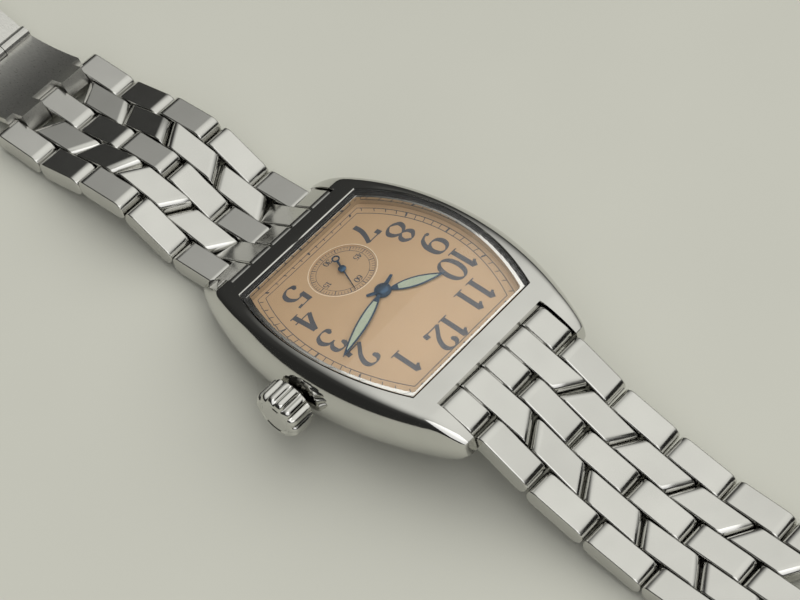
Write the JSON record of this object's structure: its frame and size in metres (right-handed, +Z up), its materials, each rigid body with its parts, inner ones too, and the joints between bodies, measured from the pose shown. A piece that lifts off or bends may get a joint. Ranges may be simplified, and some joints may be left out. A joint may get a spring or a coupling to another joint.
{
  "type": "wristwatch",
  "caption": "Tonneau wristwatch with a small seconds dial, a winding crown and a brick-laid link bracelet that lies open with its folding clasp.",
  "frame": {"origin": "middle of the base of the whole watch as it lies open, on the surface it lies on", "axes": "+X to the crown side, +Y along the bracelet to its 12 o'clock end, +Z up"},
  "size_m": [0.0351, 0.1606, 0.0128],
  "materials": {
    "polished_steel": "polished stainless steel",
    "brushed_steel": "brushed stainless steel",
    "crystal": "clear",
    "dial": "satin copper",
    "hands": "blued steel",
    "movement_brass": "gilt brass",
    "movement_steel": "plated bridges",
    "gasket": "black"
  },
  "bodies": {
    "head": {"case_body": "polished_steel", "crystal": "crystal", "crystal_gasket": "gasket", "case_back": "brushed_steel", "back_gasket": "gasket", "back_screws": "brushed_steel", "dial": "dial", "crown_tube": "brushed_steel", "movement_ring": "brushed_steel", "main_plate": "movement_steel", "barrel_bridge": "movement_steel", "train_bridge": "movement_steel", "balance_cock": "movement_steel", "spring_bars": "brushed_steel"},
    "minute_work": {"centre_wheel": "movement_brass", "cannon_pinion": "movement_steel", "minute_hand": "hands"},
    "hour_work": {"hour_wheel": "movement_brass", "hour_hand": "hands"},
    "minute_wheel": {"minute_wheel": "movement_brass"},
    "barrel": {"mainspring_barrel": "movement_brass"},
    "ratchet": {"ratchet_wheel": "movement_steel"},
    "crown_wheel": {"crown_wheel": "movement_steel"},
    "third": {"third_wheel": "movement_brass"},
    "seconds_work": {"fourth_wheel": "movement_brass", "seconds_hand": "hands"},
    "escape": {"escape_wheel": "movement_steel"},
    "pallets": {"pallet_fork": "movement_steel"},
    "balance": {"balance_wheel": "movement_brass", "hairspring": "movement_steel"},
    "setting_lever": {"setting_lever": "movement_steel"},
    "stem": {"winding_stem": "brushed_steel", "crown": "polished_steel", "crown_gasket": "gasket"},
    "end_link_12": {"end_link_12": "polished_steel"},
    "link_row_12_1": {"link_row_12_1": "polished_steel"},
    "mid_row_12_1": {"mid_row_12_1": "polished_steel"},
    "link_row_12_2": {"link_row_12_2": "polished_steel"},
    "mid_row_12_2": {"mid_row_12_2": "polished_steel"},
    "link_row_12_3": {"link_row_12_3": "polished_steel"},
    "mid_row_12_3": {"mid_row_12_3": "polished_steel"},
    "link_row_12_4": {"link_row_12_4": "polished_steel"},
    "mid_row_12_4": {"mid_row_12_4": "polished_steel"},
    "link_row_12_5": {"link_row_12_5": "polished_steel"},
    "end_link_6": {"end_link_6": "polished_steel"},
    "link_row_6_1": {"link_row_6_1": "polished_steel"},
    "mid_row_6_1": {"mid_row_6_1": "polished_steel"},
    "link_row_6_2": {"link_row_6_2": "polished_steel"},
    "mid_row_6_2": {"mid_row_6_2": "polished_steel"},
    "link_row_6_3": {"link_row_6_3": "polished_steel"},
    "mid_row_6_3": {"mid_row_6_3": "polished_steel"},
    "link_row_6_4": {"link_row_6_4": "polished_steel"},
    "mid_row_6_4": {"mid_row_6_4": "polished_steel"},
    "link_row_6_5": {"link_row_6_5": "polished_steel"},
    "clasp_wing_6": {"clasp_wing_6": "brushed_steel"},
    "clasp_centre": {"clasp_centre_blade": "brushed_steel"},
    "clasp_wing_12": {"clasp_wing_12": "brushed_steel"}
  },
  "joints": [
    {"name": "minute_turn", "type": "hinge", "parent": "head", "child": "minute_work", "pos_m": [-0.00185, 0.02, 0.00721], "axis": [0, -0.1478, 0.989], "continuous": true},
    {"name": "hour_turn", "type": "hinge", "parent": "head", "child": "hour_work", "pos_m": [-0.00185, 0.02, 0.00721], "axis": [0, -0.1478, 0.989], "continuous": true},
    {"name": "minute_wheel_turn", "type": "hinge", "parent": "head", "child": "minute_wheel", "pos_m": [0.00026, 0.02076, 0.00732], "axis": [0, -0.1478, 0.989], "continuous": true},
    {"name": "barrel_turn", "type": "hinge", "parent": "head", "child": "barrel", "pos_m": [0.00132, 0.02465, 0.0079], "axis": [0, -0.1478, 0.989], "continuous": true},
    {"name": "third_turn", "type": "hinge", "parent": "head", "child": "third", "pos_m": [-0.00448, 0.01628, 0.00665], "axis": [0, -0.1478, 0.989], "continuous": true},
    {"name": "seconds_turn", "type": "hinge", "parent": "head", "child": "seconds_work", "pos_m": [-0.00185, 0.01337, 0.00622], "axis": [0, -0.1478, 0.989], "continuous": true},
    {"name": "escape_turn", "type": "hinge", "parent": "head", "child": "escape", "pos_m": [0.00114, 0.01199, 0.00601], "axis": [0, -0.1478, 0.989], "continuous": true},
    {"name": "pallet_rock", "type": "hinge", "parent": "head", "child": "pallets", "pos_m": [0.00349, 0.0122, 0.00604], "axis": [0, -0.1478, 0.989], "range_deg": [-5, 5]},
    {"name": "balance_swing", "type": "hinge", "parent": "head", "child": "balance", "pos_m": [0.00455, 0.01565, 0.00656], "axis": [0, -0.1478, 0.989], "range_deg": [-270, 270]},
    {"name": "crown_pull", "type": "slide", "parent": "head", "child": "setting_lever", "axis": [1, 0, 0], "range_m": [0, 0.0008]},
    {"name": "crown_turn", "type": "hinge", "parent": "setting_lever", "child": "stem", "pos_m": [0.00635, 0.02, 0.00721], "axis": [1, 0, 0], "continuous": true},
    {"name": "crown_wheel_turn", "type": "hinge", "parent": "head", "child": "crown_wheel", "pos_m": [0.00486, 0.02, 0.00721], "axis": [0, -0.1478, 0.989], "continuous": true},
    {"name": "ratchet_turn", "type": "hinge", "parent": "head", "child": "ratchet", "pos_m": [0.00132, 0.02465, 0.0079], "axis": [0, -0.1478, 0.989], "continuous": true},
    {"name": "spring_bar_12", "type": "hinge", "parent": "head", "child": "end_link_12", "pos_m": [-0.00185, 0.03738, 0.01066], "axis": [-1, 0, 0], "range_deg": [-6, 14]},
    {"name": "pin_12_1", "type": "hinge", "parent": "end_link_12", "child": "link_row_12_1", "pos_m": [-0.00185, 0.04263, 0.00903], "axis": [-1, 0, 0], "range_deg": [-6, 14]},
    {"name": "pin_12_2", "type": "hinge", "parent": "link_row_12_1", "child": "mid_row_12_1", "pos_m": [-0.00185, 0.04629, 0.00713], "axis": [-1, 0, 0], "range_deg": [-6, 14]},
    {"name": "pin_12_3", "type": "hinge", "parent": "mid_row_12_1", "child": "link_row_12_2", "pos_m": [-0.00185, 0.04999, 0.00533], "axis": [-1, 0, 0], "range_deg": [-6, 14]},
    {"name": "pin_12_4", "type": "hinge", "parent": "link_row_12_2", "child": "mid_row_12_2", "pos_m": [-0.00185, 0.05395, 0.00418], "axis": [-1, 0, 0], "range_deg": [-6, 14]},
    {"name": "pin_12_5", "type": "hinge", "parent": "mid_row_12_2", "child": "link_row_12_3", "pos_m": [-0.00185, 0.05792, 0.00308], "axis": [-1, 0, 0], "range_deg": [-6, 14]},
    {"name": "pin_12_6", "type": "hinge", "parent": "link_row_12_3", "child": "mid_row_12_3", "pos_m": [-0.00185, 0.06195, 0.00223], "axis": [-1, 0, 0], "range_deg": [-6, 14]},
    {"name": "pin_12_7", "type": "hinge", "parent": "mid_row_12_3", "child": "link_row_12_4", "pos_m": [-0.00185, 0.06606, 0.00198], "axis": [-1, 0, 0], "range_deg": [-6, 14]},
    {"name": "pin_12_8", "type": "hinge", "parent": "link_row_12_4", "child": "mid_row_12_4", "pos_m": [-0.00185, 0.07018, 0.00191], "axis": [-1, 0, 0], "range_deg": [-6, 14]},
    {"name": "pin_12_9", "type": "hinge", "parent": "mid_row_12_4", "child": "link_row_12_5", "pos_m": [-0.00185, 0.0743, 0.00188], "axis": [-1, 0, 0], "range_deg": [-6, 14]},
    {"name": "spring_bar_6", "type": "hinge", "parent": "head", "child": "end_link_6", "pos_m": [-0.00185, 0.00237, 0.00543], "axis": [1, 0, 0], "range_deg": [-6, 14]},
    {"name": "pin_6_1", "type": "hinge", "parent": "end_link_6", "child": "link_row_6_1", "pos_m": [-0.00185, -0.00227, 0.00248], "axis": [1, 0, 0], "range_deg": [-6, 14]},
    {"name": "pin_6_2", "type": "hinge", "parent": "link_row_6_1", "child": "mid_row_6_1", "pos_m": [-0.00185, -0.00637, 0.00208], "axis": [1, 0, 0], "range_deg": [-6, 14]},
    {"name": "pin_6_3", "type": "hinge", "parent": "mid_row_6_1", "child": "link_row_6_2", "pos_m": [-0.00185, -0.01045, 0.00268], "axis": [1, 0, 0], "range_deg": [-6, 14]},
    {"name": "pin_6_4", "type": "hinge", "parent": "link_row_6_2", "child": "mid_row_6_2", "pos_m": [-0.00185, -0.01415, 0.00448], "axis": [1, 0, 0], "range_deg": [-6, 14]},
    {"name": "pin_6_5", "type": "hinge", "parent": "mid_row_6_2", "child": "link_row_6_3", "pos_m": [-0.00185, -0.01821, 0.00518], "axis": [1, 0, 0], "range_deg": [-6, 14]},
    {"name": "pin_6_6", "type": "hinge", "parent": "link_row_6_3", "child": "mid_row_6_3", "pos_m": [-0.00185, -0.02231, 0.00478], "axis": [1, 0, 0], "range_deg": [-6, 14]},
    {"name": "pin_6_7", "type": "hinge", "parent": "mid_row_6_3", "child": "link_row_6_4", "pos_m": [-0.00185, -0.02626, 0.00358], "axis": [1, 0, 0], "range_deg": [-6, 14]},
    {"name": "pin_6_8", "type": "hinge", "parent": "link_row_6_4", "child": "mid_row_6_4", "pos_m": [-0.00185, -0.03023, 0.00248], "axis": [1, 0, 0], "range_deg": [-6, 14]},
    {"name": "pin_6_9", "type": "hinge", "parent": "mid_row_6_4", "child": "link_row_6_5", "pos_m": [-0.00185, -0.03432, 0.00204], "axis": [1, 0, 0], "range_deg": [-6, 14]},
    {"name": "clasp_strand_pin", "type": "hinge", "parent": "link_row_6_5", "child": "clasp_wing_6", "pos_m": [-0.00185, -0.03844, 0.00198], "axis": [1, 0, 0], "range_deg": [-6, 14]},
    {"name": "clasp_fold_6", "type": "hinge", "parent": "clasp_wing_6", "child": "clasp_centre", "pos_m": [-0.00185, -0.05132, 0.00158], "axis": [1, 0, 0], "range_deg": [-150, 0]},
    {"name": "clasp_fold_12", "type": "hinge", "parent": "clasp_centre", "child": "clasp_wing_12", "pos_m": [-0.00185, -0.07932, 0.00158], "axis": [1, 0, 0], "range_deg": [0, 160]}
  ],
  "couplings": [
    {"joint": "minute_turn", "follows": "seconds_turn", "ratio": 0.016667},
    {"joint": "hour_turn", "follows": "seconds_turn", "ratio": 0.0013889},
    {"joint": "minute_wheel_turn", "follows": "seconds_turn", "ratio": -0.0055556},
    {"joint": "barrel_turn", "follows": "seconds_turn", "ratio": -0.0020833},
    {"joint": "third_turn", "follows": "seconds_turn", "ratio": -0.13333},
    {"joint": "escape_turn", "follows": "seconds_turn", "ratio": -10},
    {"joint": "crown_wheel_turn", "follows": "crown_turn", "ratio": 0.5},
    {"joint": "ratchet_turn", "follows": "crown_turn", "ratio": -0.375}
  ]
}
